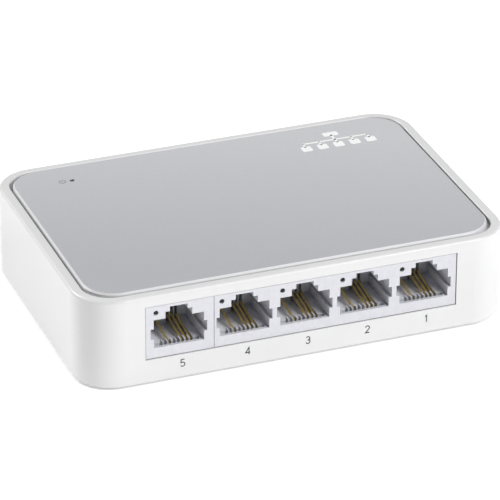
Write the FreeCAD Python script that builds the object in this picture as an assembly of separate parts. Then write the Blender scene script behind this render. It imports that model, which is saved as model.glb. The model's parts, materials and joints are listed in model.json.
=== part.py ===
"""Five-port desktop network switch, one solid or group of like solids per node.

Frame: millimetres, +Z up, origin on the table under the middle of the case.
The port side faces -Y and the power inlet side faces +Y.
"""
import FreeCAD, Part
import os

# Case
LENGTH = 103.5
DEPTH = 70.0
CASE_HEIGHT = 22.0
CASE_BOTTOM = 0.5                 # the feet lift the case by this much
CASE_TOP = CASE_BOTTOM + CASE_HEIGHT
CORNER_R = 9.5
WALL = 1.8
RIM_FILLET = 0.8
FOOT_CHAMFER = 0.35               # small bevel along the bottom edge of the walls
DECK_TOP = CASE_TOP - 1.1         # the shelf that carries the top panel
DECK = 1.0
RIM_SIDE = 2.45                   # rim width at the two ends
RIM_FRONT = 2.2                   # rim width along the two long sides
RIM_OPENING_R = 6.9
RIM_BEVEL = 0.15

# Top panel
PANEL_GAP = 0.55                  # groove between the rim and the panel
PANEL_R = 7.7
PANEL_TOP = CASE_TOP + 0.4
PANEL_BEVEL = 0.45
PEG_R = 0.95
PEG_X = 40.0
PEG_Y = 24.0
SLIDE_FIT = 0.05                  # radial clearance of a peg or guide in its hole

# Power light, in the panel's left rear corner
POWER_LIGHT_X = -34.7
POWER_LIGHT_Y = 24.5
POWER_LIGHT_R = 0.6
POWER_STEM_R = 1.5

# Bottom cover
COVER_BOTTOM = CASE_BOTTOM + 0.2
COVER_THICK = 1.5
COVER_TOP = COVER_BOTTOM + COVER_THICK
COVER_GAP = 0.12
VENT_WIDTH = 1.6
VENT_PITCH = 3.2
VENT_COUNT = 5
VENT_FIRST_X = 22.6
VENT_Y = (-13.0, 11.0)
LABEL_X = 19.0
LABEL_Y = (-12.0, 10.0)
LABEL_THICK = 0.1
LABEL_R = 1.0

# Feet
FOOT_R = 4.0
FOOT_POCKET = 0.35
FOOT_EDGE_R = 0.3
FOOT_X = 36.0
FOOT_Y = 26.0

# Screws
CASE_SCREW_X = 44.5
CASE_SCREW_Y = 28.0
BOSS_R = 2.7
PAD_R = 3.1
PAD_TOP = 3.4
SCREW_R = 1.15
SCREW_HEAD_R = 2.1
SCREW_HEAD = 1.2
SCREW_CLEARANCE = 0.1
SCREW_LENGTH = 8.0
BOARD_SCREW_X = 38.0
BOARD_SCREW_Y = (-14.5, 27.5)
STANDOFF_R = 2.4

# Circuit board
BOARD_TOP = 6.4
BOARD = 1.6
BOARD_BOTTOM = BOARD_TOP - BOARD
BOARD_X = 41.0
BOARD_FRONT = -33.0
BOARD_REAR = 32.8
BOARD_CORNER_R = 1.5
LEAD_HOLE_R = 0.5

# Port housings
WINDOW_X = (-37.4, 37.8)
WINDOW_Z = (6.45, 19.85)
HOUSING_GAP = 0.06                # between a housing and the window round it
SEAM_X = -21.05                   # where the two housings meet
SEAM_GAP = 0.04
FACE_Y = -DEPTH / 2 + 0.2
HOUSING_BACK = -19.2
HOUSING_TOP = WINDOW_Z[1] + 0.25
HOUSING_BEVEL = 0.15
SINGLE_PORT_X = -29.4
GANG_LAST_X = 29.7
GANG_PITCH = 14.5

# One modular jack, measured from its own centre line
OPENING_W = 11.9
OPENING_Z = (9.15, 16.2)
NOTCH_W = 13.4
NOTCH_Z = (11.35, 13.95)
LATCH_W = 6.35
LATCH_Z = 17.85
LATCH_TIP_W = 4.2
LATCH_TIP_Z = 19.0
CAVITY_BACK = -22.6
COMB_PITCH = 1.02
COMB_SLOT = 0.72
COMB_FLOOR = 7.9
COMB_FRONT = -32.9                # the short ribs that part the wires at the mouth
COMB_RIBS_END = -31.3             # behind them the floor is open down to COMB_FLOOR
REAR_COMB_BACK = -20.5            # the slots in the back wall that guide the wire tips
REAR_COMB_SILL = 9.4              # empty slots start above this plain sill
TROUGH_FRONT = -34.0
TROUGH_Z = 8.45
TROUGH_W = 10.4
POSITIONS = 8
FITTED = (3, 6, 7, 8)             # filled comb positions, from the left
COMB_W = (POSITIONS - 1) * COMB_PITCH + COMB_SLOT
WIRE_ROOM = 0.5                   # free room past a bend of a wire

# Contact wires
WIRE = 0.36                       # thickness
WIRE_W = 0.56
PIVOT_Y = -32.35
PIVOT_Z = 8.4
SPRING_TIP_Y = -21.5
SPRING_RISE = 1.5
SPRING_TOE = 1.0                  # the last part of a wire dips again
SPRING_TOE_DROP = 0.15
TAIL_Z = 6.95
TAIL_GAP = 0.06
TAIL_DROP_Y = -24.0
TAIL_END_Z = 4.0

# Port light guides
LIGHT_DX = -5.4
LIGHT_Z = 17.95
LIGHT_R = 0.55
LIGHT_RECESS = 0.45
LIGHT_DROP_Y = -18.0
LED_SIZE = (1.6, 0.9)
LED_HEIGHT = 0.7
LED_AIR = 0.1                     # between a chip light and its guide

# Power inlet
INLET_X = 28.0
INLET_W = 9.0
INLET_H = 11.0
INLET_BEVEL = 0.5
INLET_FACE = DEPTH / 2 - 0.2
INLET_BACK = 20.4
INLET_AXIS_Z = BOARD_TOP + 6.0
BORE_R = 3.15
BORE_BOTTOM_Y = 25.2
INLET_PIN_R = 1.0
INLET_PIN_ROOT_R = 1.3            # thicker root, pressed into the housing
INLET_PIN_ROOT = 3.2
INLET_PIN_NOSE_R = 0.45
INLET_PIN_TIP_Y = INLET_FACE - 0.8
LEAF_W = 2.6
LEAF_PIVOT_Y = 24.6
LEAF_PIVOT_Z = 8.75
LEAF_CROWN_Y = 30.2
LEAF_CROWN_Z = 9.65
LEAF_TIP_Y = 32.6
LEAF_TIP_RISE = 0.3
LEAF_ROOM = 0.6                   # free room around the leaf
LEAF_ROOM_BELOW = 0.75
TERMINAL_AT = ((INLET_X, INLET_BACK + 0.7), (INLET_X, LEAF_PIVOT_Y - 1.0), (INLET_X - 3.2, 27.0))
TERMINAL_TOP = (INLET_AXIS_Z - 0.3, 7.9, 7.9)
TERMINAL_SIZE = (1.5, 0.6)
TERMINAL_SLOT = (1.8, 1.4)
TERMINAL_AIR = 0.3                # slot height above a terminal
TERMINAL_HOLE_R = 1.0

# Screw heads
CROSS_LONG = 2.4
CROSS_WIDE = 0.5
CROSS_DEEP = 0.6

# Chips: centre, size, height, leads on a side, lead pitch, sides with leads
CHIPS = {
    "switch_chip": ((-10.0, 7.0), (10.0, 10.0), 1.4, 12, 0.75, 4),
    "gang_transformer": ((14.0, -10.5), (26.0, 9.0), 5.6, 20, 1.2, 2),
    "single_transformer": ((-22.0, -10.5), (12.5, 9.0), 5.6, 8, 1.4, 2),
    "regulator": ((-4.0, 24.0), (4.9, 3.9), 1.6, 4, 1.27, 2),
}
CHIP_LIFT = 0.15
LEAD_ROOT = 0.3                   # length of a lead under the body
LEAD_REACH = 1.0
LEAD_THICK = 0.35
LEAD_SHARE = 0.45                 # width of a lead over its pitch

# Other parts on the board
CRYSTAL_AT = (12.0, 8.0)
CRYSTAL_CAN = (10.6, 4.2)
CRYSTAL_BASE = (11.4, 4.7)
CRYSTAL_BASE_HEIGHT = 0.6
CRYSTAL_HEIGHT = 3.6
CRYSTAL_R = 2.0
CAN_R = 3.15
CAN_HEIGHT = 7.7
CAN_BASE = 0.5
CAN_BASE_RIM = 0.3
CAN_GROOVE_Z = 1.8
CAN_GROOVE_R = 0.4
INPUT_CAN_AT = (16.0, 24.0)
OUTPUT_CAN_AT = (-14.0, 24.0)
INDUCTOR_AT = (4.0, 25.0)
INDUCTOR = 6.0
INDUCTOR_HEIGHT = 3.0
INDUCTOR_R = 1.2
INDUCTOR_WELL_R = 2.6
INDUCTOR_WELL = 0.6
INDUCTOR_CORE_R = 2.0
INDUCTOR_CORE_HEIGHT = 3.2
FUSE_AT = (16.0, 16.5)
FUSE_SIZE = (4.5, 3.2, 1.2)
CAPACITOR_FIRST = (-16.0, -2.5)
CAPACITOR_STEP = 4.0
CAPACITOR_COUNT = 7
CAPACITOR_SIZE = (1.6, 0.8, 0.8)
RESISTOR_FIRST = (-33.0, -10.0)
RESISTOR_STEP = 2.4
RESISTOR_COUNT = 6
RESISTOR_SIZE = (1.6, 0.8, 0.5)


def box(x, y, z):
    """Block between two planes on each axis."""
    corner = FreeCAD.Vector(x[0], y[0], z[0])
    return Part.makeBox(x[1] - x[0], y[1] - y[0], z[1] - z[0], corner)


def centred(middle, width):
    """Interval of a given width about a middle value."""
    return (middle - width / 2, middle + width / 2)


def post(x, y, z, radius):
    """Upright cylinder between two heights."""
    return Part.makeCylinder(radius, z[1] - z[0], FreeCAD.Vector(x, y, z[0]))


def rod(x, y, z, radius):
    """Cylinder along Y between two values of Y."""
    start = FreeCAD.Vector(x, y[0], z)
    return Part.makeCylinder(radius, y[1] - y[0], start, FreeCAD.Vector(0, 1, 0))


def edges_at(shape, height):
    """Edges that lie wholly at one height."""
    def level(edge):
        bounds = edge.BoundBox
        return abs(bounds.ZMin - height) < 1e-6 and abs(bounds.ZMax - height) < 1e-6
    return [edge for edge in shape.Edges if level(edge)]


def upright_edges(shape):
    """Edges that run straight up."""
    def upright(edge):
        bounds = edge.BoundBox
        return bounds.XLength < 1e-6 and bounds.YLength < 1e-6
    return [edge for edge in shape.Edges if upright(edge)]


def rounded_plate(half_x, half_y, radius, z):
    """Plate about the Z axis with four rounded upright corners."""
    plate = box((-half_x, half_x), (-half_y, half_y), z)
    return plate.makeFillet(radius, upright_edges(plate))


def strip(path, thickness, x, width):
    """Flat wire bent along points in a YZ plane, with round ends and bends."""
    points = [FreeCAD.Vector(0, y, z) for y, z in path]
    outline = Part.makePolygon(points).makeOffset2D(thickness / 2, 0, False, False, False)
    section = Part.Face(outline)
    section.translate(FreeCAD.Vector(x - width / 2, 0, 0))
    return section.extrude(FreeCAD.Vector(width, 0, 0))


def four_corners(x, y):
    """The four points that mirror one corner point about both axes."""
    return [(sx * x, sy * y) for sx in (-1, 1) for sy in (-1, 1)]


def board_screw_points():
    """Centres of the four screws that hold the board."""
    return [(sx * BOARD_SCREW_X, y) for sx in (-1, 1) for y in BOARD_SCREW_Y]


def port_centres():
    """Port number to its centre line: 1 to 4 in the gang, 5 on its own."""
    centres = {number: GANG_LAST_X - (number - 1) * GANG_PITCH for number in range(1, 5)}
    centres[5] = SINGLE_PORT_X
    return centres


def comb_x(centre, position):
    """Centre line of one comb position, counted from the left."""
    return centre + (position - (POSITIONS + 1) / 2) * COMB_PITCH


def main_case():
    """Top shell: four walls, rim, shelf for the panel, bosses, window and inlet."""
    shell = rounded_plate(LENGTH / 2, DEPTH / 2, CORNER_R, (CASE_BOTTOM, CASE_TOP))
    shell = shell.makeFillet(RIM_FILLET, edges_at(shell, CASE_TOP))
    shell = shell.makeChamfer(FOOT_CHAMFER, edges_at(shell, CASE_BOTTOM))
    deck_bottom = DECK_TOP - DECK
    hollow = rounded_plate(LENGTH / 2 - WALL, DEPTH / 2 - WALL, CORNER_R - WALL,
                           (CASE_BOTTOM - 1, deck_bottom))
    recess = rounded_plate(LENGTH / 2 - RIM_SIDE, DEPTH / 2 - RIM_FRONT, RIM_OPENING_R,
                           (DECK_TOP, CASE_TOP))
    mouth = rounded_plate(LENGTH / 2 - RIM_SIDE + RIM_BEVEL, DEPTH / 2 - RIM_FRONT + RIM_BEVEL,
                          RIM_OPENING_R + RIM_BEVEL, (CASE_TOP - RIM_BEVEL, CASE_TOP + 1))
    mouth = mouth.makeChamfer(RIM_BEVEL - 0.001, edges_at(mouth, CASE_TOP - RIM_BEVEL))
    shell = shell.cut([hollow, recess, mouth])
    posts = [post(x, y, (PAD_TOP + 0.1, deck_bottom + 0.1), BOSS_R)
             for x, y in four_corners(CASE_SCREW_X, CASE_SCREW_Y)]
    shell = shell.fuse(posts)
    pilots = [post(x, y, (PAD_TOP, PAD_TOP + SCREW_LENGTH), SCREW_R + SCREW_CLEARANCE)
              for x, y in four_corners(CASE_SCREW_X, CASE_SCREW_Y)]
    pegs = [post(x, y, (deck_bottom - 1, DECK_TOP + 1), PEG_R + SLIDE_FIT)
            for x, y in four_corners(PEG_X, PEG_Y)]
    light = post(POWER_LIGHT_X, POWER_LIGHT_Y, (deck_bottom - 1, DECK_TOP + 1),
                 POWER_STEM_R + SLIDE_FIT)
    window = box(WINDOW_X, (-DEPTH / 2 - 1, -DEPTH / 2 + WALL + 1), WINDOW_Z)
    inlet = box(centred(INLET_X, INLET_W + 2 * HOUSING_GAP), (DEPTH / 2 - WALL - 1, DEPTH / 2 + 1),
                (BOARD_TOP, BOARD_TOP + INLET_H + HOUSING_GAP))
    return shell.cut(pilots + pegs + [light, window, inlet])


def top_panel():
    """Thin plate in the rim, with a bevelled edge, four pegs and the power light hole."""
    half_x = LENGTH / 2 - RIM_SIDE - PANEL_GAP
    half_y = DEPTH / 2 - RIM_FRONT - PANEL_GAP
    plate = rounded_plate(half_x, half_y, PANEL_R, (DECK_TOP, PANEL_TOP))
    plate = plate.makeChamfer(PANEL_BEVEL, edges_at(plate, PANEL_TOP))
    pegs = [post(x, y, (DECK_TOP - DECK, DECK_TOP + 0.1), PEG_R)
            for x, y in four_corners(PEG_X, PEG_Y)]
    eye = post(POWER_LIGHT_X, POWER_LIGHT_Y, (DECK_TOP - 1, PANEL_TOP + 1),
               POWER_LIGHT_R + SLIDE_FIT)
    return plate.fuse(pegs).cut(eye)


def bottom_cover():
    """Plate that closes the shell, with air slots, screw pads and board standoffs."""
    plate = rounded_plate(LENGTH / 2 - WALL - COVER_GAP, DEPTH / 2 - WALL - COVER_GAP,
                          CORNER_R - WALL - COVER_GAP, (COVER_BOTTOM, COVER_TOP))
    raised = [post(x, y, (COVER_BOTTOM + 0.5, PAD_TOP), PAD_R)
              for x, y in four_corners(CASE_SCREW_X, CASE_SCREW_Y)]
    raised += [post(x, y, (COVER_BOTTOM + 0.5, BOARD_BOTTOM), STANDOFF_R)
               for x, y in board_screw_points()]
    plate = plate.fuse(raised)
    cuts = []
    for side in (-1, 1):
        for number in range(VENT_COUNT):
            x = side * (VENT_FIRST_X + number * VENT_PITCH)
            slot = box(centred(x, VENT_WIDTH), VENT_Y, (COVER_BOTTOM - 1, COVER_TOP + 1))
            cuts.append(slot.makeFillet(VENT_WIDTH / 2 - 0.01, upright_edges(slot)))
    for x, y in four_corners(CASE_SCREW_X, CASE_SCREW_Y):
        cuts.append(post(x, y, (COVER_BOTTOM - 1, PAD_TOP + 1), SCREW_R + SCREW_CLEARANCE))
        cuts.append(post(x, y, (COVER_BOTTOM - 1, COVER_BOTTOM + SCREW_HEAD + SCREW_CLEARANCE),
                         SCREW_HEAD_R + SCREW_CLEARANCE))
    for x, y in board_screw_points():
        cuts.append(post(x, y, (COVER_TOP, BOARD_BOTTOM + 1), SCREW_R + SCREW_CLEARANCE))
    for x, y in four_corners(FOOT_X, FOOT_Y):
        cuts.append(post(x, y, (COVER_BOTTOM - 1, COVER_BOTTOM + FOOT_POCKET), FOOT_R + SLIDE_FIT))
    return plate.cut(cuts)


def foot(x, y):
    """Round rubber foot with a soft lower edge, stuck in its pocket."""
    pad = post(x, y, (0, COVER_BOTTOM + FOOT_POCKET), FOOT_R)
    return pad.makeFillet(FOOT_EDGE_R, edges_at(pad, 0))


def screw(x, y, seat, direction, length):
    """Pan head screw on its seat, head below when direction is 1 and above when it is -1."""
    axis = FreeCAD.Vector(0, 0, direction)
    head = Part.makeCylinder(SCREW_HEAD_R, SCREW_HEAD, FreeCAD.Vector(x, y, seat), -axis)
    shank = Part.makeCylinder(SCREW_R, length, FreeCAD.Vector(x, y, seat), axis)
    face = seat - direction * SCREW_HEAD
    cross = []
    for size in ((CROSS_LONG, CROSS_WIDE), (CROSS_WIDE, CROSS_LONG)):
        depth = sorted((face - direction, face + direction * CROSS_DEEP))
        cross.append(box(centred(x, size[0]), centred(y, size[1]), depth))
    return head.fuse(shank).cut(cross)


def case_screws():
    """Four screws from below, through the cover into the case bosses."""
    seat = COVER_BOTTOM + SCREW_HEAD + SCREW_CLEARANCE
    return Part.makeCompound([screw(x, y, seat, 1, SCREW_LENGTH)
                              for x, y in four_corners(CASE_SCREW_X, CASE_SCREW_Y)])


def board_screws():
    """Four screws from above, through the board into the standoffs."""
    length = BOARD_TOP - COVER_TOP - 0.3
    return Part.makeCompound([screw(x, y, BOARD_TOP, -1, length) for x, y in board_screw_points()])


def rating_label():
    """Thin blank label under the cover."""
    label = box((-LABEL_X, LABEL_X), LABEL_Y, (COVER_BOTTOM - LABEL_THICK, COVER_BOTTOM))
    return label.makeFillet(LABEL_R, upright_edges(label))


def circuit_board():
    """Board with holes for the screws, the contact tails and the inlet terminals."""
    board = box((-BOARD_X, BOARD_X), (BOARD_FRONT, BOARD_REAR), (BOARD_BOTTOM, BOARD_TOP))
    board = board.makeFillet(BOARD_CORNER_R, upright_edges(board))
    through = (BOARD_BOTTOM - 1, BOARD_TOP + 1)
    holes = [post(x, y, through, SCREW_R + SCREW_CLEARANCE) for x, y in board_screw_points()]
    for centre in port_centres().values():
        holes += [post(comb_x(centre, position), TAIL_DROP_Y, through, LEAD_HOLE_R)
                  for position in FITTED]
    holes += [post(x, y, through, TERMINAL_HOLE_R) for x, y in TERMINAL_AT]
    return board.cut(holes)


def jack_cuts(centre):
    """Everything hollow in one jack: opening, side grooves, latch steps, comb and guide hole."""
    inside = (FACE_Y - 1, CAVITY_BACK)
    cuts = [box(centred(centre, OPENING_W), inside, OPENING_Z),
            box(centred(centre, NOTCH_W), inside, NOTCH_Z),
            box(centred(centre, LATCH_W), inside, (OPENING_Z[0], LATCH_Z)),
            box(centred(centre, LATCH_TIP_W), inside, (OPENING_Z[0], LATCH_TIP_Z)),
            box(centred(centre, TROUGH_W), (TROUGH_FRONT, COMB_FRONT), (TROUGH_Z, OPENING_Z[0] + 1)),
            box(centred(centre, COMB_W), (COMB_RIBS_END, CAVITY_BACK), (COMB_FLOOR, OPENING_Z[0] + 1))]
    front = COMB_FRONT - 0.1
    for position in range(1, POSITIONS + 1):
        x = comb_x(centre, position)
        slot = centred(x, COMB_SLOT)
        top = LATCH_Z if abs(x - centre) < LATCH_W / 2 - COMB_SLOT else OPENING_Z[1]
        sill = COMB_FLOOR if position in FITTED else REAR_COMB_SILL
        cuts.append(box(slot, (front, COMB_RIBS_END + 0.1), (COMB_FLOOR, OPENING_Z[0] + 0.1)))
        cuts.append(box(slot, (CAVITY_BACK - 0.1, REAR_COMB_BACK), (sill, top)))
    for position in FITTED:
        slot = centred(comb_x(centre, position), COMB_SLOT)
        cuts.append(box(slot, (front, PIVOT_Y + WIRE_ROOM), (BOARD_TOP - 1, COMB_FLOOR + WIRE_ROOM)))
        cuts.append(box(slot, (front, TAIL_DROP_Y + WIRE_ROOM), (BOARD_TOP - 1, TAIL_Z + 0.4)))
    guide_x = centre + LIGHT_DX
    cuts.append(rod(guide_x, (FACE_Y - 1, HOUSING_BACK + 1), LIGHT_Z, LIGHT_R + SLIDE_FIT))
    return cuts


def port_housing(x, centres):
    """Moulded block on the board: a nose fills the window, and each centre line has a jack."""
    shoulder = -DEPTH / 2 + WALL + HOUSING_GAP
    nose_z = (WINDOW_Z[0] + HOUSING_GAP, WINDOW_Z[1] - HOUSING_GAP)
    nose = box(x, (FACE_Y, shoulder + 1), nose_z)
    front_edges = [edge for edge in nose.Edges if edge.BoundBox.YMax < FACE_Y + 0.01]
    nose = nose.makeChamfer(HOUSING_BEVEL, front_edges)
    block = box(x, (shoulder, HOUSING_BACK), (BOARD_TOP, HOUSING_TOP)).fuse(nose)
    cuts = []
    for centre in centres:
        cuts += jack_cuts(centre)
    return block.cut(cuts)


def contact_springs(centre):
    """Moving part of the four contact wires: they slope up to the rear comb."""
    knee = (SPRING_TIP_Y - SPRING_TOE, PIVOT_Z + SPRING_RISE)
    path = [(PIVOT_Y, PIVOT_Z), knee, (SPRING_TIP_Y, knee[1] - SPRING_TOE_DROP)]
    return Part.makeCompound([strip(path, WIRE, comb_x(centre, position), WIRE_W)
                              for position in FITTED])


def contact_tails(centre):
    """Fixed part of the four contact wires: under the floor and down through the board."""
    top = PIVOT_Z - WIRE - TAIL_GAP
    path = [(PIVOT_Y, top), (PIVOT_Y, TAIL_Z), (TAIL_DROP_Y, TAIL_Z), (TAIL_DROP_Y, TAIL_END_Z)]
    return Part.makeCompound([strip(path, WIRE, comb_x(centre, position), WIRE_W)
                              for position in FITTED])


def port_light_guide(centre):
    """Clear bar from the light on the board up and forward to the hole in the face."""
    x = centre + LIGHT_DX
    bar = rod(x, (FACE_Y + LIGHT_RECESS, LIGHT_DROP_Y), LIGHT_Z, LIGHT_R)
    leg = box(centred(x, 2 * LIGHT_R), centred(LIGHT_DROP_Y, 2 * LIGHT_R),
              (BOARD_TOP + LED_HEIGHT + LED_AIR, LIGHT_Z + LIGHT_R))
    return bar.fuse(leg)


def small_light(x, y):
    """Chip light on the board."""
    return box(centred(x, LED_SIZE[0]), centred(y, LED_SIZE[1]), (BOARD_TOP, BOARD_TOP + LED_HEIGHT))


def power_light_guide():
    """Stepped clear pin from the board up into the panel's hole."""
    foot_z = BOARD_TOP + LED_HEIGHT + LED_AIR
    stem = post(POWER_LIGHT_X, POWER_LIGHT_Y, (foot_z, DECK_TOP - 0.1), POWER_STEM_R)
    tip = post(POWER_LIGHT_X, POWER_LIGHT_Y, (foot_z, PANEL_TOP - 0.25), POWER_LIGHT_R)
    return stem.fuse(tip)


def inlet_leaf_path():
    """Side view of the sprung leaf, crowned where it presses on a plug."""
    return [(LEAF_PIVOT_Y, LEAF_PIVOT_Z), (LEAF_CROWN_Y, LEAF_CROWN_Z),
            (LEAF_TIP_Y, LEAF_PIVOT_Z + LEAF_TIP_RISE)]


def inlet_housing():
    """Block with the plug bore, open below the bore for the leaf."""
    block = box(centred(INLET_X, INLET_W), (INLET_BACK, INLET_FACE), (BOARD_TOP, BOARD_TOP + INLET_H))
    bore = rod(INLET_X, (BORE_BOTTOM_Y, INLET_FACE + 1), INLET_AXIS_Z, BORE_R)
    root = (BORE_BOTTOM_Y - INLET_PIN_ROOT, BORE_BOTTOM_Y + 1)
    pin_hole = rod(INLET_X, root, INLET_AXIS_Z, INLET_PIN_ROOT_R)
    leaf_room = box(centred(INLET_X, LEAF_W + LEAF_ROOM),
                    (LEAF_PIVOT_Y - LEAF_ROOM, LEAF_TIP_Y + LEAF_ROOM),
                    (LEAF_PIVOT_Z - LEAF_ROOM_BELOW, INLET_AXIS_Z - BORE_R + LEAF_ROOM))
    slots = [box(centred(x, TERMINAL_SLOT[0]), centred(y, TERMINAL_SLOT[1]),
                 (BOARD_TOP - 1, top + TERMINAL_AIR))
             for (x, y), top in zip(TERMINAL_AT, TERMINAL_TOP)]
    corner = edges_at(block, BOARD_TOP + INLET_H)
    block = block.makeChamfer(INLET_BEVEL, [edge for edge in corner if edge.BoundBox.YLength > 1])
    return block.cut([bore, pin_hole, leaf_room] + slots)


def inlet_pin():
    """Centre pin of the inlet, with a rounded tip and a thicker root in the housing."""
    pin = rod(INLET_X, (BORE_BOTTOM_Y, INLET_PIN_TIP_Y), INLET_AXIS_Z, INLET_PIN_R)
    tip = [edge for edge in pin.Edges if edge.BoundBox.YMin > INLET_PIN_TIP_Y - 0.01]
    root = rod(INLET_X, (BORE_BOTTOM_Y - INLET_PIN_ROOT, BORE_BOTTOM_Y), INLET_AXIS_Z,
               INLET_PIN_ROOT_R)
    return pin.makeFillet(INLET_PIN_NOSE_R, tip).fuse(root)


def inlet_terminals():
    """Three solder blades under the inlet."""
    blades = [box(centred(x, TERMINAL_SIZE[0]), centred(y, TERMINAL_SIZE[1]), (TAIL_END_Z, top))
              for (x, y), top in zip(TERMINAL_AT, TERMINAL_TOP)]
    return Part.makeCompound(blades)


def chip(at, size, height, leads, pitch, sides):
    """Moulded chip with rows of flat leads on two or four sides."""
    x, y = at
    body = box(centred(x, size[0]), centred(y, size[1]), (BOARD_TOP + CHIP_LIFT, BOARD_TOP + height))
    thick = (BOARD_TOP, BOARD_TOP + LEAD_THICK)
    width = pitch * LEAD_SHARE
    pieces = []
    for number in range(leads):
        offset = (number - (leads - 1) / 2) * pitch
        for side in (-1, 1):
            root = side * (size[1] / 2 - LEAD_ROOT)
            tip = side * (size[1] / 2 + LEAD_REACH)
            pieces.append(box(centred(x + offset, width), sorted((y + root, y + tip)), thick))
            if sides == 4:
                root = side * (size[0] / 2 - LEAD_ROOT)
                tip = side * (size[0] / 2 + LEAD_REACH)
                pieces.append(box(sorted((x + root, x + tip)), centred(y + offset, width), thick))
    return body.fuse(pieces)


def crystal():
    """Long can with round ends on a thin base."""
    x, y = CRYSTAL_AT
    can = box(centred(x, CRYSTAL_CAN[0]), centred(y, CRYSTAL_CAN[1]),
              (BOARD_TOP + CRYSTAL_BASE_HEIGHT, BOARD_TOP + CRYSTAL_HEIGHT))
    can = can.makeFillet(CRYSTAL_R, upright_edges(can))
    base = box(centred(x, CRYSTAL_BASE[0]), centred(y, CRYSTAL_BASE[1]),
               (BOARD_TOP, BOARD_TOP + CRYSTAL_BASE_HEIGHT))
    return can.fuse(base)


def capacitor(at):
    """Round electrolytic can on a square base, with its rolled groove."""
    x, y = at
    side = 2 * CAN_R + CAN_BASE_RIM
    base = box(centred(x, side), centred(y, side), (BOARD_TOP, BOARD_TOP + CAN_BASE))
    can = post(x, y, (BOARD_TOP, BOARD_TOP + CAN_HEIGHT), CAN_R)
    middle = FreeCAD.Vector(x, y, BOARD_TOP + CAN_GROOVE_Z)
    groove = Part.makeTorus(CAN_R + CAN_GROOVE_R / 4, CAN_GROOVE_R, middle)
    return can.cut(groove).fuse(base)


def inductor():
    """Square power inductor: a ferrite block with a round wound core."""
    x, y = INDUCTOR_AT
    top = BOARD_TOP + INDUCTOR_HEIGHT
    block = box(centred(x, INDUCTOR), centred(y, INDUCTOR), (BOARD_TOP, top))
    block = block.makeFillet(INDUCTOR_R, upright_edges(block))
    well = post(x, y, (top - INDUCTOR_WELL, top + 1), INDUCTOR_WELL_R)
    core = post(x, y, (BOARD_TOP, BOARD_TOP + INDUCTOR_CORE_HEIGHT), INDUCTOR_CORE_R)
    return block.cut(well).fuse(core)


def chip_group(points, size):
    """Like chip resistors or capacitors, one block for each point."""
    return Part.makeCompound([box(centred(x, size[0]), centred(y, size[1]),
                                  (BOARD_TOP, BOARD_TOP + size[2])) for x, y in points])


def ports():
    """Nodes that every port has: springs, tails, light guide and light."""
    shapes = {}
    for number, centre in port_centres().items():
        name = "port_%d_" % number
        shapes[name + "contact_springs"] = contact_springs(centre)
        shapes[name + "contact_tails"] = contact_tails(centre)
        shapes[name + "light_guide"] = port_light_guide(centre)
        shapes[name + "light"] = small_light(centre + LIGHT_DX, LIGHT_DROP_Y)
    return shapes


def feet():
    """Four feet named for their corners."""
    names = ("left_front_foot", "left_rear_foot", "right_front_foot", "right_rear_foot")
    return {name: foot(x, y) for name, (x, y) in zip(names, four_corners(FOOT_X, FOOT_Y))}


def electronics():
    """Parts soldered to the board behind the ports."""
    decoupling = [(CAPACITOR_FIRST[0] + CAPACITOR_STEP * number, CAPACITOR_FIRST[1])
                  for number in range(CAPACITOR_COUNT)]
    pull_ups = [(RESISTOR_FIRST[0], RESISTOR_FIRST[1] + RESISTOR_STEP * number)
                for number in range(RESISTOR_COUNT)]
    shapes = {name: chip(*sizes) for name, sizes in CHIPS.items()}
    shapes["circuit_board"] = circuit_board()
    shapes["crystal"] = crystal()
    shapes["inductor"] = inductor()
    shapes["input_capacitor"] = capacitor(INPUT_CAN_AT)
    shapes["output_capacitor"] = capacitor(OUTPUT_CAN_AT)
    shapes["input_fuse"] = chip_group([FUSE_AT], FUSE_SIZE)
    shapes["chip_capacitors"] = chip_group(decoupling, CAPACITOR_SIZE)
    shapes["chip_resistors"] = chip_group(pull_ups, RESISTOR_SIZE)
    return shapes


def power_inlet():
    """Inlet housing, pin, sprung leaf and terminals."""
    return {
        "power_inlet_housing": inlet_housing(),
        "power_inlet_pin": inlet_pin(),
        "power_inlet_leaf": strip(inlet_leaf_path(), WIRE, INLET_X, LEAF_W),
        "power_inlet_terminals": inlet_terminals(),
    }


def main():
    """Build every node and write one STEP file for each."""
    centres = port_centres()
    shapes = {
        "main_case": main_case(),
        "top_panel": top_panel(),
        "bottom_cover": bottom_cover(),
        "case_screws": case_screws(),
        "board_screws": board_screws(),
        "rating_label": rating_label(),
        "port_5_housing": port_housing((WINDOW_X[0] + HOUSING_GAP, SEAM_X - SEAM_GAP / 2), [centres[5]]),
        "gang_housing": port_housing((SEAM_X + SEAM_GAP / 2, WINDOW_X[1] - HOUSING_GAP),
                                     [centres[number] for number in range(1, 5)]),
        "power_light_guide": power_light_guide(),
        "power_light": small_light(POWER_LIGHT_X, POWER_LIGHT_Y),
    }
    shapes.update(feet())
    shapes.update(ports())
    shapes.update(electronics())
    shapes.update(power_inlet())
    os.makedirs("parts", exist_ok=True)
    for name, shape in shapes.items():
        shape.exportStep("parts/%s.step" % name)
        print("%-24s %2d solids, %9.2f cubic mm" % (name, len(shape.Solids), shape.Volume))


main()
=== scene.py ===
"""Looks of a five-port desktop network switch, laid out as an add-on and run as a script.

Metres, +Z up, ports on -Y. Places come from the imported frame.
"""
import json
import math

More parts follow.
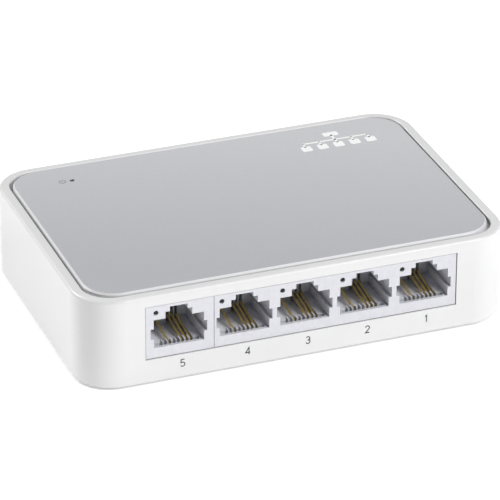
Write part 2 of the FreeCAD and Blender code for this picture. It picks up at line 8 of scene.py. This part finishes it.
import bmesh
import bpy
import numpy as np
from mathutils import Euler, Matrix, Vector


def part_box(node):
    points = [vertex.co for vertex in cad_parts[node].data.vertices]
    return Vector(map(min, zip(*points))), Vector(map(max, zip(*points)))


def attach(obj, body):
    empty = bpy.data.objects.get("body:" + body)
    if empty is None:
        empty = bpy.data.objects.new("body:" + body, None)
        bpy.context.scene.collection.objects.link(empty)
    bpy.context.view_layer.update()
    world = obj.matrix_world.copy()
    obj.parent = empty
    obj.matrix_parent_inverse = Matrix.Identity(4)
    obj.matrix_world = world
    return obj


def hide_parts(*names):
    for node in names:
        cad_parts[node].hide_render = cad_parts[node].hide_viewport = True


bl_info = {
    "name": "Network Switch Looks",
    "version": (1, 0, 0),
    "blender": (4, 5, 0),
    "location": "View3D > Sidebar > Switch",
    "description": "Prints, contact wires, finishes and stage for a five-port switch",
    "category": "Object",
}

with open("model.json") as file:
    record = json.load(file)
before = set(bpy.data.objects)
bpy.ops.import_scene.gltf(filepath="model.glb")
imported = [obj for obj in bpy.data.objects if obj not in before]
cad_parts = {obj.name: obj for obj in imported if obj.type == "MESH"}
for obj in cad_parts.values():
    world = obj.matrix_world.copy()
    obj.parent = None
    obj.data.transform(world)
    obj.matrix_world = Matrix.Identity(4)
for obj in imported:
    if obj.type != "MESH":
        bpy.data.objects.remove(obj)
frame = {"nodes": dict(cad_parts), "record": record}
MM = 0.001
PORTS = (1, 2, 3, 4, 5)
ROOT = "switch"
MOUNTS = {mount["name"]: mount for mount in frame["record"]["mounts"]}
WIRE_STEPS = (0, 3, 4, 5)         # comb steps of the four wires, from the leftmost one
NOISE_SPAN = {"From Min": 0.3, "From Max": 0.7}
PANEL_SHEEN_WAY = (0.35, 0.94, 0.0)   # painted sheen: the panel's tone lightens this way, to the rear and a little right
PANEL_SHEEN_POWER = 1.2           # and faster towards the end
PANEL_SHEEN_PAST_MM = 2.0         # how far past the panel's rear edge the painted sheen ends
PANEL_EDGE_MM = (0.06, 0.02)      # depths below the top between which the bright edge turns to plate
CASE_CREVICE_SHADE = (1.6, (0.12, 0.5))     # painted crevice shade: reach in mm, and the openness from the painted shade tone to the open tone
JACK_CREVICE_SHADE = (6.0, (0.1, 0.7))
CREVICE_SAMPLES = 12
WIRE_TOE_SLOPE = 0.15             # fall of a contact wire's dipped end per unit of its length
WIRE_KNEE_MM = 0.12               # softness of the bend between the rising wire and its toe
WIRE_SHARP_DEG = 40.0             # edges sharper than this stay crisp on a contact wire


def linear(code):
    """Linear red, green and blue of an sRGB hex colour."""
    parts = [int(code[i:i + 2], 16) / 255 for i in (0, 2, 4)]
    return tuple(p / 12.92 if p <= 0.04045 else ((p + 0.055) / 1.055) ** 2.4 for p in parts)


def colour(name, description, code):
    """Colour property with an sRGB hex default."""
    return bpy.props.FloatVectorProperty(name=name, description=description, subtype="COLOR",
                                         size=3, min=0.0, max=1.0, default=linear(code))


def length(name, description, millimetres):
    """Length property whose default is given in millimetres."""
    return bpy.props.FloatProperty(name=name, description=description, unit="LENGTH",
                                   default=millimetres * MM)


class SwitchSizes(bpy.types.PropertyGroup):
    """Sizes of the prints and wires."""
    numeral_height: length("Numeral height", "Height of the printed port numerals", 1.75)
    numeral_stroke: length("Numeral stroke", "Line width of the printed port numerals", 0.24)
    numeral_drop: length("Numeral drop", "From the middle of a jack down to its numeral", 8.45)
    numeral_shift: length("Numeral shift", "Sideways from the jack's middle to its numeral", 0.75)
    print_thickness: length("Print thickness", "Height of the printed ink", 0.02)
    power_mark: length("Power mark", "Diameter of the power symbol", 1.7)
    power_mark_gap: length("Power mark gap", "From the power light to its symbol", 2.3)
    sign_width: length("Sign width", "Width of the port sign on the panel", 19.0)
    sign_from_right: length("Sign from right", "From the panel's right end to the sign's middle", 17.8)
    sign_from_rear: length("Sign from rear", "From the panel's rear edge to the sign's middle", 8.9)
    wire_width: length("Wire width", "Width of one contact wire", 0.56)
    wire_thickness: length("Wire thickness", "Thickness of one contact wire", 0.36)
    wire_toe: length("Wire toe", "Length of the dipped end of a contact wire", 1.0)


class SwitchColours(bpy.types.PropertyGroup):
    """Colours of the finishes."""
    case: colour("Case", "White moulded ABS", "DCDCDC")
    # Painted shade: the tone the case turns to deep in the groove round the panel, where shade falls.
    shaded_crevice: colour("Crevice", "White ABS deep in the groove round the panel", "7A7B7C")
    # Painted sheen: the panel's colour runs from the front tone to the lighter rear tone.
    panel_sheen_rear: colour("Panel rear", "Satin grey at the rear of the top panel", "C9CACD")
    panel_sheen_front: colour("Panel front", "Satin grey at the front of the top panel", "B5B6BA")
    panel_edge: colour("Panel edge", "Bright edge of the top panel", "DCDCDE")
    housing: colour("Port housing", "Pale grey jack plastic", "D0D0D6")
    # Painted shade: the tone the jack plastic turns to down in the cavity, where shade falls.
    shaded_cavity: colour("Jack cavity", "Jack plastic down in the cavity", "B6B9BE")
    contact: colour("Contacts", "Gold flash over bronze", "F2D68C")
    numeral: colour("Numerals", "Dark grey printing ink under the ports", "2C2D30")
    sign: colour("Sign", "White printing ink on the panel", "F4F4F4")
    mark: colour("Power mark", "Pale grey ink beside the power light", "85878B")
    board: colour("Board", "Green solder mask", "1E5A34")


def settings():
    """The two groups of settings on the scene."""
    scene = bpy.context.scene
    return scene.switch_sizes, scene.switch_colours


# Shader helpers ---------------------------------------------------------------

def add(tree, kind, values=None, **options):
    """Adds a node with its options, and sets or links its inputs."""
    node = tree.nodes.new("ShaderNode" + kind)
    for name, value in options.items():
        setattr(node, name, value)
    for socket, value in (values or {}).items():
        if isinstance(value, bpy.types.NodeSocket):
            tree.links.new(value, node.inputs[socket])
        else:
            node.inputs[socket].default_value = value
    return node


def rgba(rgb, gain=1.0):
    """Linear colour with alpha, optionally brighter or darker."""
    return tuple(min(1.0, c * gain) for c in rgb) + (1.0,)


def start(name, **values):
    """New material: its tree, Object coordinates and a Principled shader with plain values set."""
    material = bpy.data.materials.new(name)
    material.use_nodes = True
    tree = material.node_tree
    tree.nodes.clear()
    shader = add(tree, "BsdfPrincipled", {name.replace("_", " "): value for name, value in values.items()})
    add(tree, "OutputMaterial", {"Surface": shader.outputs["BSDF"]})
    place = add(tree, "TexCoord").outputs["Object"]
    return material, tree, shader, place


def skin(tree, shader, field, tones, rough, relief):
    """Lets one field between 0 and 1 drive tone, roughness and relief.

    tones are two colours or sockets, rough is two values, relief is the depth in mm and its
    strength. Returns the socket of the mixed tone.
    """
    spread = add(tree, "MapRange", {"Value": field, **NOISE_SPAN},
                 interpolation_type="SMOOTHSTEP").outputs["Result"]
    tone = add(tree, "Mix", {0: spread, 6: tones[0], 7: tones[1]}, data_type="RGBA").outputs[2]
    gloss = add(tree, "MapRange", {"Value": spread, "To Min": rough[0], "To Max": rough[1]})
    bump = add(tree, "Bump", {"Height": field, "Distance": relief[0] * MM, "Strength": relief[1]})
    tree.links.new(tone, shader.inputs["Base Color"])
    tree.links.new(gloss.outputs["Result"], shader.inputs["Roughness"])
    tree.links.new(bump.outputs["Normal"], shader.inputs["Normal"])
    return tone


def per_mm(size_mm):
    """Texture scale for blobs of a real size."""
    return 1.0 / (size_mm * MM)


# Materials --------------------------------------------------------------------

def grained(name, rgb, spread, grain_mm, rough, relief, stretch=(1.0, 1.0, 1.0), **values):
    """Finish whose tone, roughness and relief follow one grain of a real size."""
    material, tree, shader, place = start(name, **values)
    drawn = add(tree, "Mapping", {"Vector": place, "Scale": stretch}).outputs["Vector"]
    field = add(tree, "TexNoise", {"Vector": drawn, "Scale": per_mm(grain_mm), "Detail": 3.0})
    tones = (rgba(rgb, 1.0 - spread), rgba(rgb, 1.0 + spread))
    skin(tree, shader, field.outputs["Fac"], tones, rough, relief)
    return material


def paint_crevice_shade(tree, shader, open_tone, shade_tone, reach_mm, span):
    """Paints shade: turns the tone to the shade tone where nearby walls close a point in."""
    shut = add(tree, "AmbientOcclusion", {"Distance": reach_mm * MM}, samples=CREVICE_SAMPLES).outputs["AO"]
    share = add(tree, "MapRange", {"Value": shut, "From Min": span[0], "From Max": span[1]},
                interpolation_type="SMOOTHSTEP").outputs["Result"]
    tone = add(tree, "Mix", {0: share, 6: shade_tone, 7: open_tone}, data_type="RGBA").outputs[2]
    tree.links.new(tone, shader.inputs["Base Color"])


def moulded_abs():
    """Polished injection-moulded ABS: a soft gloss with the faintest flow ripple, and painted shade turning
    it grey in crevices.
    """
    tones = settings()[1]
    material, tree, shader, place = start("moulded_white_abs", IOR=1.53, Specular_IOR_Level=0.45)
    flow = add(tree, "TexNoise", {"Vector": place, "Scale": per_mm(14.0), "Detail": 3.0}).outputs["Fac"]
    tone = skin(tree, shader, flow, (rgba(tones.case, 0.995), rgba(tones.case, 1.005)),
                (0.29, 0.34), (0.02, 0.1))
    # Painted shade: the case greys in the groove round the panel and in other crevices.
    paint_crevice_shade(tree, shader, tone, rgba(tones.shaded_crevice), *CASE_CREVICE_SHADE)
    return material


def satin_panel():
    """Spark-eroded satin plate: a tight grain, a painted sheen that lightens the tone to the rear, a bright
    edge.
    """
    tones = settings()[1]
    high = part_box("top_panel")[1]
    material, tree, shader, place = start("satin_grey_panel", IOR=1.5, Specular_IOR_Level=0.5)
    # Painted sheen: the base colour lightens along this way, from the front colour to the rear one.
    way = Vector(PANEL_SHEEN_WAY).normalized()
    along = add(tree, "VectorMath", {0: place, 1: way}, operation="DOT_PRODUCT").outputs["Value"]
    reach = high.y + PANEL_SHEEN_PAST_MM * MM
    share = add(tree, "MapRange", {"Value": along, "From Min": -reach, "From Max": reach}).outputs["Result"]
    painted_sheen = add(tree, "Math", {0: share, 1: PANEL_SHEEN_POWER}, operation="POWER").outputs["Value"]
    plate = add(tree, "Mix", {0: painted_sheen, 6: rgba(tones.panel_sheen_front), 7: rgba(tones.panel_sheen_rear)},
                data_type="RGBA").outputs[2]
    height = add(tree, "SeparateXYZ", {"Vector": place}).outputs["Z"]
    edge_top, edge_end = (high.z - depth * MM for depth in PANEL_EDGE_MM)
    flat = add(tree, "MapRange", {"Value": height, "From Min": edge_top, "From Max": edge_end})
    grey = add(tree, "Mix", {0: flat.outputs["Result"], 6: rgba(tones.panel_edge), 7: plate},
               data_type="RGBA").outputs[2]
    # A real erosion grain is about 0.05 mm; this one is drawn at 0.3 mm so that it shows.
    fine = add(tree, "TexNoise", {"Vector": place, "Scale": per_mm(0.3), "Detail": 2.0}).outputs["Fac"]
    deeper = add(tree, "Mix", {0: 0.05, 6: grey, 7: rgba((0.0, 0.0, 0.0))}, data_type="RGBA").outputs[2]
    skin(tree, shader, fine, (deeper, grey), (0.4, 0.5), (0.02, 0.35))
    return material


def jack_plastic():
    """Glass-filled jack plastic: pale cool grey, drier than the case, with painted shade dark down in the
    cavities.
    """
    tones = settings()[1]
    material, tree, shader, place = start("glass_filled_jack_plastic", IOR=1.55)
    mottle = add(tree, "TexNoise", {"Vector": place, "Scale": per_mm(0.8), "Detail": 3.0}).outputs["Fac"]
    tone = skin(tree, shader, mottle, (rgba(tones.housing, 0.97), rgba(tones.housing, 1.03)),
                (0.38, 0.52), (0.02, 0.3))
    # Painted shade: the jack plastic darkens down in the cavities.
    paint_crevice_shade(tree, shader, tone, rgba(tones.shaded_cavity), *JACK_CREVICE_SHADE)
    return material


def contact_gold():
    """Gold flash over drawn bronze: warm metal with fine drawing lines along the wire."""
    return grained("gold_flash_on_bronze", settings()[1].contact, 0.16, 0.12, (0.35, 0.5), (0.008, 0.4),
                   stretch=(1.0, 0.06, 1.0), Metallic=0.85)


def light_guide_acrylic():
    """Moulded acrylic seen down its length: glossy and dark, with a slight milky haze."""
    return grained("dark_light_guide", linear("0E1012"), 0.12, 1.5, (0.08, 0.16), (0.01, 0.1), IOR=1.49)


def solder_mask():
    """Glossy green solder mask over copper tracks, which show as a paler raised pattern."""
    rgb = settings()[1].board
    material, tree, shader, place = start("green_solder_mask", IOR=1.52)
    tracks = add(tree, "TexBrick", {"Vector": place, "Scale": per_mm(4.0), "Mortar Size": 0.06})
    field = tracks.outputs["Fac"]
    skin(tree, shader, field, (rgba(rgb), rgba(rgb, 1.5)), (0.22, 0.34), (0.03, 0.5))
    return material


def printing_ink(name, rgb):
    """Pad-printed ink: a thin even film with slightly uneven cover."""
    return grained(name, rgb, 0.06, 0.25, (0.4, 0.55), (0.004, 0.2), IOR=1.48)


def studio_paper():
    """Smooth white studio paper, lit through from below so that shadows on it stay faint."""
    material, tree, shader, place = start("white_studio_paper", Specular_IOR_Level=0.1,
                                          Emission_Color=rgba((1.0, 1.0, 1.0)), Emission_Strength=0.43)
    tooth = add(tree, "TexNoise", {"Vector": place, "Scale": per_mm(40.0), "Detail": 3.0}).outputs["Fac"]
    skin(tree, shader, tooth, (rgba(linear("E6E6E6")), rgba(linear("EAEAEA"))), (0.6, 0.7), (0.01, 0.1))
    return material


# Name, colour, tone spread, grain in mm, roughness, relief in mm and strength, metal or not.
PLAIN_FINISHES = {
    # Dark matt rubber with a soft moulded skin that drinks the light.
    "foot": ("moulded_foot_rubber", "26262A", 0.12, 0.6, (0.65, 0.82), (0.04, 0.5), 0.0),
    # Bright zinc plate: a clean cold glint on the screw heads.
    "screw": ("bright_zinc_plate", "B9BABD", 0.14, 0.3, (0.22, 0.36), (0.01, 0.4), 1.0),
    # Silver label film: flat and smooth, with a faint paper-like cloud.
    "label": ("silver_label_film", "D4D5D6", 0.04, 1.2, (0.35, 0.45), (0.01, 0.3), 0.0),
    # Moulded epoxy: near black, with the fine dry grain of the mould.
    "epoxy": ("black_epoxy", "1C1C1E", 0.14, 0.25, (0.5, 0.66), (0.015, 0.5), 0.0),
    # Drawn can: smooth bright metal with soft draw marks.
    "can": ("drawn_can", "C4C5C6", 0.1, 0.4, (0.2, 0.32), (0.01, 0.4), 1.0),
    # Sintered ferrite: dark grey, dry and slightly sparkling.
    "ferrite": ("sintered_ferrite", "3A3A3B", 0.16, 0.3, (0.6, 0.75), (0.02, 0.5), 0.0),
    # Fired ceramic: tan and even, like unglazed china.
    "ceramic": ("fired_chip_ceramic", "B59A72", 0.1, 0.3, (0.42, 0.55), (0.01, 0.4), 0.0),
    # Cast resin over a chip light: pale, glossy and slightly green.
    "lens": ("pale_light_resin", "E6E8D8", 0.04, 0.5, (0.15, 0.3), (0.005, 0.3), 0.0),
    # Moulded nylon: black with a low waxy sheen.
    "nylon": ("black_nylon", "161618", 0.14, 0.5, (0.42, 0.55), (0.02, 0.5), 0.0),
    # Nickel plate: a sharp, slightly warm mirror.
    "nickel": ("bright_nickel", "CDC8BE", 0.06, 0.5, (0.1, 0.2), (0.004, 0.3), 1.0),
    # Dipped tin: a soft grey metal with a cloudy bloom.
    "tin": ("dull_tin", "B4B4B0", 0.12, 0.5, (0.34, 0.5), (0.01, 0.4), 1.0),
}


def plain_finish(key):
    """One of the plain finishes."""
    name, code, spread, grain_mm, rough, relief, metal = PLAIN_FINISHES[key]
    return grained(name, linear(code), spread, grain_mm, rough, relief, Metallic=metal)


def dress(material, *nodes):
    """Gives a finish to carried CAD nodes."""
    for name in nodes:
        mesh = frame["nodes"][name].data
        mesh.materials.clear()
        mesh.materials.append(material)


def port_nodes(suffix):
    """Names of one kind of node over the five ports."""
    return ["port_%d_%s" % (number, suffix) for number in PORTS]


# Mesh helpers -----------------------------------------------------------------

def piece(name, parts, material, body=ROOT):
    """New object from closed parts (vertices, faces), with its place in its mesh, riding on a body."""
    vertices = np.concatenate([part[0] for part in parts])
    starts = np.cumsum([0] + [len(part[0]) for part in parts[:-1]])
    faces = [(np.asarray(face) + first).tolist() for first, part in zip(starts, parts) for face in part[1]]
    mesh = bpy.data.meshes.new(name)
    mesh.from_pydata(vertices.tolist(), [], faces)
    data = bmesh.new()
    data.from_mesh(mesh)
    bmesh.ops.recalc_face_normals(data, faces=data.faces)
    data.to_mesh(mesh)
    data.free()
    mesh.materials.append(material)
    thing = bpy.data.objects.new(name, mesh)
    bpy.context.scene.collection.objects.link(thing)
    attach(thing, body)
    return thing


def tube(rings):
    """Closed tube through rings of points (steps by points by 3): quads along, flat caps at the ends."""
    steps, around = rings.shape[:2]
    first = np.arange(steps - 1)[:, None] * around
    here = np.arange(around)
    after = (here + 1) % around
    quads = np.stack([first + here, first + after, first + around + after, first + around + here], axis=-1)
    faces = quads.reshape(-1, 4).tolist()
    faces += [here[::-1].tolist(), (here + (steps - 1) * around).tolist()]
    return rings.reshape(-1, 3), faces


def arc(centre, radius, first, last, steps=14):
    """Points on a circle or ellipse between two angles in degrees."""
    angle = np.radians(np.linspace(first, last, steps))
    return np.column_stack([np.cos(angle), np.sin(angle)]) * radius + centre


def stroke(path, width, thickness):
    """Flat line of a width along a path in a plane, as a thin slab above it.

    Each point is offset both ways by half the width along the mitre of its two neighbouring
    segments: the sum of their unit normals over one plus their dot product.
    """
    path = np.asarray(path, dtype=float)
    along = np.diff(path, axis=0)
    along /= np.linalg.norm(along, axis=1)[:, None]
    normal = np.column_stack([-along[:, 1], along[:, 0]])
    before = np.vstack([normal[:1], normal])
    behind = np.vstack([normal, normal[-1:]])
    mitre = (before + behind) / (1.0 + (before * behind).sum(axis=1))[:, None]
    sides = np.stack([path - mitre * width / 2, path + mitre * width / 2])
    low = np.concatenate([sides, np.zeros(sides.shape[:2] + (1,))], axis=2)
    high = np.concatenate([sides, np.full(sides.shape[:2] + (1,), thickness)], axis=2)
    return tube(np.stack([low[0], low[1], high[1], high[0]], axis=1))


def slab(centre, size, radius, thickness):
    """Thin rectangle with round corners, as two rings of points joined by a wall."""
    half = np.array(size) / 2 - radius
    turns = ((1, 1, 0), (-1, 1, 90), (-1, -1, 180), (1, -1, 270))
    outline = np.concatenate([arc(half * (sx, sy) + centre, radius, turn, turn + 90, 6)
                              for sx, sy, turn in turns])
    rings = [np.column_stack([outline, np.full(len(outline), height)]) for height in (0.0, thickness)]
    return tube(np.stack(rings))


def numeral_paths(number):
    """Centre lines of one numeral in a cell 0.6 wide and 1 high about the origin."""
    shapes = {
        1: [[(-0.17, 0.3), (0.04, 0.5), (0.04, -0.5)]],
        2: [np.vstack([arc((0, 0.22), 0.28, 165, -35), [(-0.27, -0.5), (0.3, -0.5)]])],
        3: [np.vstack([arc((0, 0.26), 0.24, 155, -80), arc((0, -0.22), 0.28, 78, -160)])],
        4: [[(0.32, -0.22), (-0.32, -0.22), (0.14, 0.5), (0.14, -0.5)]],
        5: [np.vstack([[(0.25, 0.5), (-0.2, 0.5), (-0.25, 0.06)], arc((-0.01, -0.2), 0.3, 118, -150)])],
    }
    return shapes[number]


# Operators --------------------------------------------------------------------

class SWITCH_OT_case(bpy.types.Operator):
    """Finishes the white case and cover, the feet, the screws and the label"""
    bl_idname = "switch.case"
    bl_label = "Case"

    def execute(self, context):
        dress(moulded_abs(), "main_case", "bottom_cover")
        dress(plain_finish("foot"), *[node for node in frame["nodes"] if node.endswith("_foot")])
        dress(plain_finish("screw"), "case_screws", "board_screws")
        dress(plain_finish("label"), "rating_label")
        return {"FINISHED"}


class SWITCH_OT_panel(bpy.types.Operator):
    """Finishes the grey top panel and the light guides"""
    bl_idname = "switch.panel"
    bl_label = "Top panel"

    def execute(self, context):
        dress(satin_panel(), "top_panel")
        dress(light_guide_acrylic(), "power_light_guide", *port_nodes("light_guide"))
        return {"FINISHED"}


class SWITCH_OT_ports(bpy.types.Operator):
    """Finishes the jack housings"""
    bl_idname = "switch.ports"
    bl_label = "Port housings"

    def execute(self, context):
        dress(jack_plastic(), "port_5_housing", "gang_housing")
        return {"FINISHED"}


class SWITCH_OT_contacts(bpy.types.Operator):
    """Builds the four sprung contact wires of each port and finishes their fixed tails"""
    bl_idname = "switch.contacts"
    bl_label = "Contact wires"

    def execute(self, context):
        gold = contact_gold()
        dress(gold, *port_nodes("contact_tails"))
        for number in PORTS:
            node = "port_%d_contact_springs" % number
            wires = [self.wire(node, step) for step in WIRE_STEPS]
            thing = piece("port_%d_contact_wires" % number, wires, gold, "port_%d_springs" % number)
            thing.data.polygons.foreach_set("use_smooth", np.ones(len(thing.data.polygons), dtype=bool))
            thing.data.set_sharp_from_angle(angle=math.radians(WIRE_SHARP_DEG))
            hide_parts(node)
        return {"FINISHED"}

    @staticmethod
    def wire(node, step, samples=48):
        """Strip with rounded edges, carried along the side view of one wire.

        The side view is the smooth lower envelope of two lines, the rising wire and its dipped
        toe: half their sum less half the root of their squared difference plus a small square.
        The section is a superellipse of power 4, stood square to the path's slope.
        """
        sizes = settings()[0]
        low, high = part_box(node)
        half_w, half_t = sizes.wire_width / 2, sizes.wire_thickness / 2
        pitch = (high.x - low.x - 2 * half_w) / WIRE_STEPS[-1]
        y = np.linspace(low.y + half_t, high.y - half_t, samples)
        knee = y[-1] - sizes.wire_toe
        top = high.z - half_t
        rising = low.z + half_t + (top - low.z - half_t) * (y - y[0]) / (knee - y[0])
        toe = top - WIRE_TOE_SLOPE * (y - knee)
        z = (rising + toe - np.sqrt((rising - toe) ** 2 + (WIRE_KNEE_MM * MM) ** 2)) / 2
        slope = np.arctan(np.gradient(z, y))
        angle = np.linspace(0, 2 * math.pi, 16, endpoint=False)
        across = half_w * np.sign(np.cos(angle)) * np.abs(np.cos(angle)) ** 0.5
        lift = half_t * np.sign(np.sin(angle)) * np.abs(np.sin(angle)) ** 0.5
        x = np.broadcast_to(low.x + half_w + step * pitch + across, (samples, len(angle)))
        rings = np.stack([x, y[:, None] - np.sin(slope)[:, None] * lift,
                          z[:, None] + np.cos(slope)[:, None] * lift], axis=2)
        return tube(rings)


class SWITCH_OT_electronics(bpy.types.Operator):
    """Finishes the board, its parts and the power inlet"""
    bl_idname = "switch.electronics"
    bl_label = "Electronics"

    def execute(self, context):
        dress(solder_mask(), "circuit_board")
        dress(plain_finish("epoxy"), "switch_chip", "gang_transformer", "single_transformer", "regulator",
              "chip_resistors")
        dress(plain_finish("can"), "crystal", "input_capacitor", "output_capacitor")
        dress(plain_finish("ferrite"), "inductor")
        dress(plain_finish("ceramic"), "chip_capacitors", "input_fuse")
        dress(plain_finish("lens"), "power_light", *port_nodes("light"))
        dress(plain_finish("nylon"), "power_inlet_housing")
        dress(plain_finish("nickel"), "power_inlet_pin", "power_inlet_leaf")
        dress(plain_finish("tin"), "power_inlet_terminals")
        return {"FINISHED"}


class SWITCH_OT_numerals(bpy.types.Operator):
    """Prints the port numerals on the case below the jacks"""
    bl_idname = "switch.numerals"
    bl_label = "Numerals"

    def execute(self, context):
        sizes, tones = settings()
        ink = printing_ink("grey_pad_print", tones.numeral)
        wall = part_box("main_case")[0].y
        for number in PORTS:
            x, _, z = MOUNTS["port_%d" % number]["pos_m"]
            parts = []
            for path in numeral_paths(number):
                points, faces = stroke(np.array(path) * sizes.numeral_height, sizes.numeral_stroke,
                                       sizes.print_thickness)
                upright = np.column_stack([points[:, 0] + x + sizes.numeral_shift, wall - points[:, 2],
                                           points[:, 1] + z - sizes.numeral_drop])
                parts.append((upright, faces))
            piece("numeral_%d" % number, parts, ink)
        return {"FINISHED"}


class SWITCH_OT_power_mark(bpy.types.Operator):
    """Prints the power symbol beside the power light: an open ring with a bar"""
    bl_idname = "switch.power_mark"
    bl_label = "Power mark"

    def execute(self, context):
        sizes, tones = settings()
        low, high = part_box("power_light_guide")
        middle = (low + high) / 2
        radius = sizes.power_mark / 2
        line = radius * 0.26
        layer = sizes.print_thickness
        ring = stroke(arc((0, 0), radius - line / 2, 122, 418, 40), line, layer)
        bar = stroke([(0, radius * 0.1), (0, radius * 1.1)], line, layer)
        place = (middle.x - sizes.power_mark_gap, middle.y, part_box("top_panel")[1].z)
        parts = [(points + place, faces) for points, faces in (ring, bar)]
        piece("power_mark", parts, printing_ink("pale_grey_pad_print", tones.mark))
        return {"FINISHED"}


class SWITCH_OT_sign(bpy.types.Operator):
    """Prints the sign for a wired hub on the panel: five squares hanging from one line"""
    bl_idname = "switch.sign"
    bl_label = "Panel sign"

    def execute(self, context):
        sizes, tones = settings()
        pitch = sizes.sign_width / (len(PORTS) - 0.35)
        side = pitch * 0.62
        line = side * 0.22
        layer = sizes.print_thickness
        edge = side * 0.2
        reach = pitch * (len(PORTS) - 1) / 2 + line / 2
        parts = [stroke([(-reach, 0), (reach, 0)], line, layer), stroke([(0, 0), (0, side)], line, layer),
                 slab((0, side * 1.2), (side * 1.5, side * 0.8), edge, layer)]
        for number in range(len(PORTS)):
            x = (number - 2) * pitch
            parts.append(stroke([(x, 0), (x, -side * 0.7)], line, layer))
            parts.append(slab((x, -side * 1.05), (side, side), edge, layer))
        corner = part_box("top_panel")[1]
        place = (corner.x - sizes.sign_from_right, corner.y - sizes.sign_from_rear, corner.z)
        piece("panel_sign", [(points + place, faces) for points, faces in parts],
              printing_ink("white_screen_print", tones.sign))
        return {"FINISHED"}


CAMERA = {"lens": 281.6, "sensor": 36.0, "azimuth": -20.68, "elevation": 27.77, "roll": 0.15,
          "distance": 0.9098, "target": (0.33 * MM, -0.68 * MM, 10.5 * MM)}
FLOOR_REACH = 12.0
DOME_STRENGTH = 0.06
WALL_TOP = 0.06                   # height of a direction, as the sine of its angle
CEILING_FROM = 0.1
# Bearing from +X and height in degrees, and watts: behind the left end, and beyond the right end
# of the port side. Between them the near left corner stays a little darker.
SOFTBOXES = (("left_softbox", 132, 36, 20.5), ("right_softbox", -54, 42, 23.5))
SOFTBOX_DISTANCE = 1.6
SOFTBOX_SIZE = 0.8


class SWITCH_OT_stage(bpy.types.Operator):
    """Sets up the pale floor, the soft studio light and the camera"""
    bl_idname = "switch.stage"
    bl_label = "Stage"

    def execute(self, context):
        scene = context.scene
        corners = np.array([(-1, -1, 0), (1, -1, 0), (1, 1, 0), (-1, 1, 0)]) * FLOOR_REACH
        mesh = bpy.data.meshes.new("studio_floor")
        mesh.from_pydata(corners.tolist(), [], [(0, 1, 2, 3)])
        mesh.materials.append(studio_paper())
        floor = bpy.data.objects.new("studio_floor", mesh)
        scene.collection.objects.link(floor)
        world = bpy.data.worlds.new("studio_dome")
        world.use_nodes = True
        self.dome(world.node_tree)
        scene.world = world
        scene.view_settings.view_transform = "Standard"
        for name, bearing, elevation, power in SOFTBOXES:
            lamp(name, bearing, elevation, SOFTBOX_DISTANCE, SOFTBOX_SIZE, power)
        self.camera(scene)
        return {"FINISHED"}

    @staticmethod
    def dome(tree):
        """White studio walls low round the horizon under a dim ceiling."""
        up = add(tree, "SeparateXYZ", {"Vector": add(tree, "TexCoord").outputs["Generated"]}).outputs["Z"]
        strength = add(tree, "MapRange", {"Value": up, "From Min": WALL_TOP, "From Max": CEILING_FROM,
                                          "To Min": 1.0, "To Max": DOME_STRENGTH}).outputs["Result"]
        tree.links.new(strength, tree.nodes["Background"].inputs["Strength"])
        tree.nodes["Background"].inputs["Color"].default_value = rgba((1.0, 1.0, 1.0))

    @staticmethod
    def camera(scene):
        """Long lens on the left of the port side, a little above it."""
        data = bpy.data.cameras.new("camera")
        data.sensor_width = CAMERA["sensor"]
        data.lens = CAMERA["lens"]
        data.clip_start = 0.05
        data.clip_end = 20.0
        eye = bpy.data.objects.new("camera", data)
        azimuth, elevation, roll = (math.radians(CAMERA[name]) for name in ("azimuth", "elevation", "roll"))
        back = Vector((math.sin(azimuth) * math.cos(elevation), -math.cos(azimuth) * math.cos(elevation),
                       math.sin(elevation)))
        eye.location = Vector(CAMERA["target"]) + back * CAMERA["distance"]
        aim = (-back).to_track_quat("-Z", "Y").to_matrix() @ Euler((0, 0, roll)).to_matrix()
        eye.rotation_euler = aim.to_euler()
        scene.collection.objects.link(eye)
        scene.camera = eye


def lamp(name, bearing, elevation, distance, size, power):
    """Square soft box at a bearing from +X and a height angle, aimed at the object's middle."""
    light = bpy.data.lights.new(name, "AREA")
    light.shape = "SQUARE"
    light.size = size
    light.energy = power
    bearing, elevation = math.radians(bearing), math.radians(elevation)
    way = Vector((math.cos(bearing) * math.cos(elevation), math.sin(bearing) * math.cos(elevation),
                  math.sin(elevation)))
    thing = bpy.data.objects.new(name, light)
    thing.location = way * distance
    thing.rotation_euler = (-way).to_track_quat("-Z", "Y").to_euler()
    bpy.context.scene.collection.objects.link(thing)


class SWITCH_PT_looks(bpy.types.Panel):
    """Sizes, colours and build steps of the switch"""
    bl_label = "Network switch"
    bl_idname = "SWITCH_PT_looks"
    bl_space_type = "VIEW_3D"
    bl_region_type = "UI"
    bl_category = "Switch"

    def draw(self, context):
        for group in settings():
            for name in group.__annotations__:
                self.layout.prop(group, name)
        for step in STEPS:
            self.layout.operator(step.bl_idname)


STEPS = (SWITCH_OT_case, SWITCH_OT_panel, SWITCH_OT_ports, SWITCH_OT_contacts, SWITCH_OT_electronics,
         SWITCH_OT_numerals, SWITCH_OT_power_mark, SWITCH_OT_sign, SWITCH_OT_stage)
CLASSES = (SwitchSizes, SwitchColours) + STEPS + (SWITCH_PT_looks,)


def register():
    """Registers the classes and their settings."""
    for item in CLASSES:
        bpy.utils.register_class(item)
    bpy.types.Scene.switch_sizes = bpy.props.PointerProperty(type=SwitchSizes)
    bpy.types.Scene.switch_colours = bpy.props.PointerProperty(type=SwitchColours)


def unregister():
    """Removes the settings and the classes."""
    del bpy.types.Scene.switch_colours
    del bpy.types.Scene.switch_sizes
    for item in reversed(CLASSES):
        bpy.utils.unregister_class(item)


def main():
    """Builds every step in order."""
    register()
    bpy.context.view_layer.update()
    for step in STEPS:
        group, name = step.bl_idname.split(".")
        getattr(getattr(bpy.ops, group), name)()


if __name__ == "__main__":
    main()
